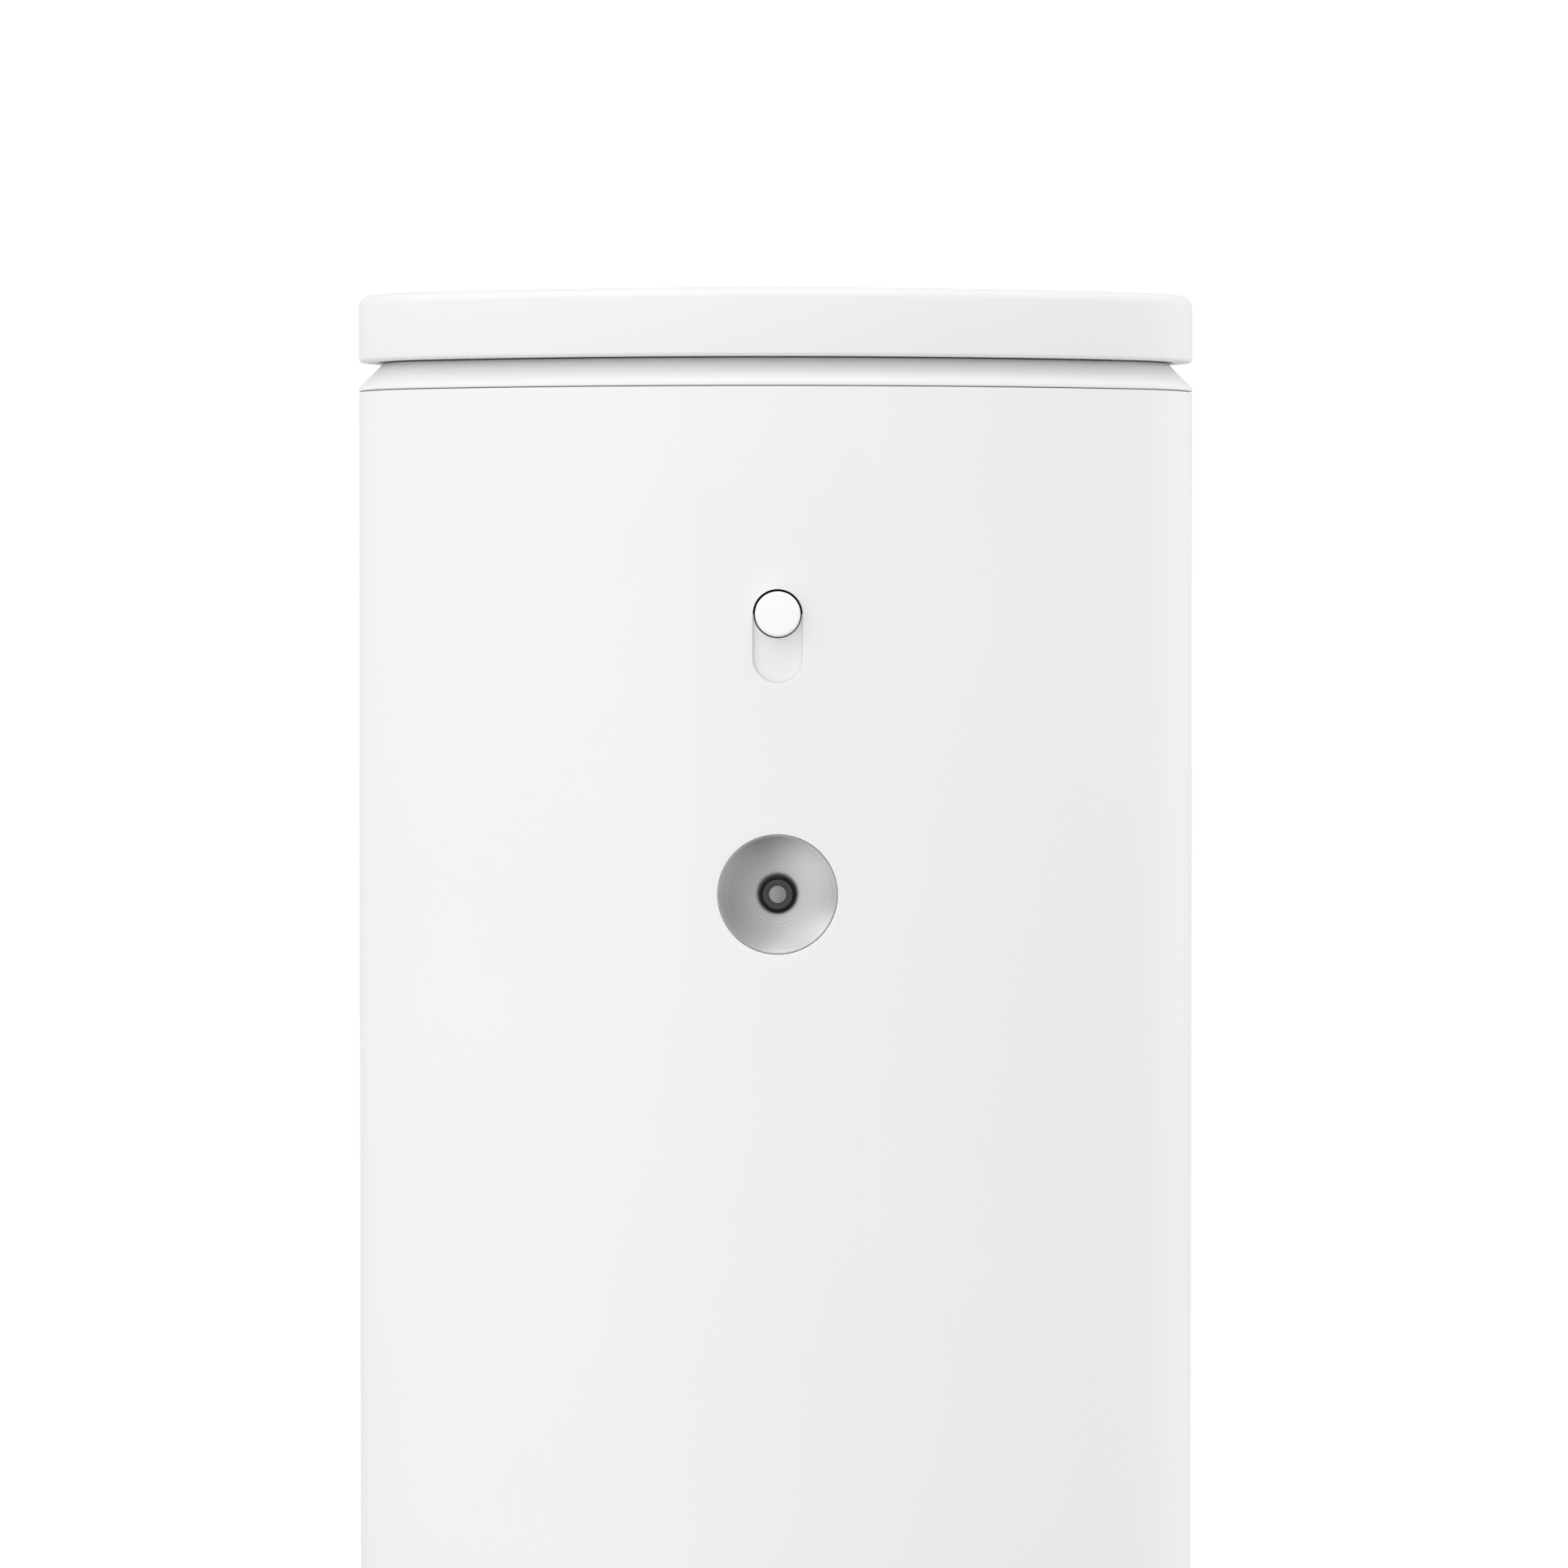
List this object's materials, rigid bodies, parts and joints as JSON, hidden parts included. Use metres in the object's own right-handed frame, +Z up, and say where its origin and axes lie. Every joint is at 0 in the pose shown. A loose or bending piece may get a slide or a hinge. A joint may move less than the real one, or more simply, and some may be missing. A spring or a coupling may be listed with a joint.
{
  "type": "air purifier",
  "caption": "Slim oval tower air purifier with a lift-off lid over a sloping outlet collar, a sliding knob, a dished power inlet and a slotted intake base.",
  "frame": {"origin": "middle of the footprint, on the surface that the rubber feet stand on", "axes": "+Z up along the tower, +Y towards the plain back face, -Y towards the face with the sliding knob and the power inlet, +X along the wide side"},
  "size_m": [0.26, 0.1282, 0.52],
  "materials": {
    "white_shell": "fine satin moulded white",
    "knob_white": "smooth bright white",
    "inner_white": "plain matt moulded",
    "black_plastic": "black, lightly rounded edges",
    "grey_plastic": "dark grey matt",
    "mesh_grey": "fine woven mesh",
    "spun_aluminium": "concentric turned rings",
    "polished_metal": "polished",
    "steel": "brushed",
    "copper": "enamelled wire and tinned tabs",
    "rubber": "matt",
    "ferrite": "matt ground ring",
    "foam": "closed-cell foam",
    "filter_paper": "pleated sheet",
    "carbon": "granule mat",
    "webbing": "flat woven loop",
    "circuit_board": "solder mask"
  },
  "bodies": {
    "housing": {"body_shell": "white_shell", "deflector_ring": "white_shell", "base_plate": "white_shell", "intake_grille": "black_plastic", "chassis_floor": "inner_white", "foot_pad_1": "rubber", "foot_pad_2": "rubber", "foot_pad_3": "rubber", "foot_pad_4": "rubber", "base_screw_1": "steel", "base_screw_2": "steel", "base_screw_3": "steel", "base_screw_4": "steel", "fan_frame": "black_plastic", "fan_stator": "copper", "fan_bearing_1": "steel", "fan_bearing_2": "steel", "filter_bay": "inner_white", "bay_shelf": "inner_white", "switch_guide": "black_plastic", "guide_screw_1": "steel", "guide_screw_2": "steel", "slide_control": "steel", "control_board": "circuit_board", "board_chip": "black_plastic", "board_capacitor_1": "grey_plastic", "board_capacitor_2": "grey_plastic", "board_plug": "inner_white", "inlet_dish": "spun_aluminium", "inlet_bushing": "black_plastic", "inlet_face": "grey_plastic", "inlet_contact": "polished_metal", "inlet_washer": "steel", "inlet_nut": "steel", "inlet_terminal_1": "copper", "inlet_terminal_2": "copper", "power_lead": "rubber", "fan_lead": "rubber"},
    "lid": {"lid_cap": "white_shell", "lid_liner": "inner_white", "lid_post_1": "polished_metal", "lid_post_2": "polished_metal", "lid_post_3": "polished_metal", "lid_post_4": "polished_metal"},
    "filter": {"filter_frame": "inner_white", "hepa_pleats": "filter_paper", "carbon_mat": "carbon", "prefilter_mesh": "mesh_grey", "filter_gasket": "foam", "pull_tab": "webbing"},
    "slider": {"slider_knob": "knob_white", "slider_shutter": "white_shell", "slider_carriage": "black_plastic", "knob_screw": "steel", "wiper_lever": "black_plastic"},
    "rotor": {"impeller": "grey_plastic", "fan_shaft": "steel", "rotor_magnet": "ferrite"}
  },
  "joints": [
    {"name": "lid_lift", "type": "slide", "parent": "housing", "child": "lid", "axis": [0, 0, 1], "range_m": [0, 0.12]},
    {"name": "filter_lift", "type": "slide", "parent": "housing", "child": "filter", "axis": [0, 0, 1], "range_m": [0, 0.1]},
    {"name": "power_slide", "type": "slide", "parent": "housing", "child": "slider", "axis": [0, 0, -1], "range_m": [0, 0.0133]},
    {"name": "fan_spin", "type": "hinge", "parent": "housing", "child": "rotor", "pos_m": [0, 0.00215, 0.045], "axis": [0, 0, 1], "continuous": true}
  ],
  "couplings": [
    {"joint": "filter_lift", "follows": "lid_lift", "ratio": 0.8333}
  ]
}
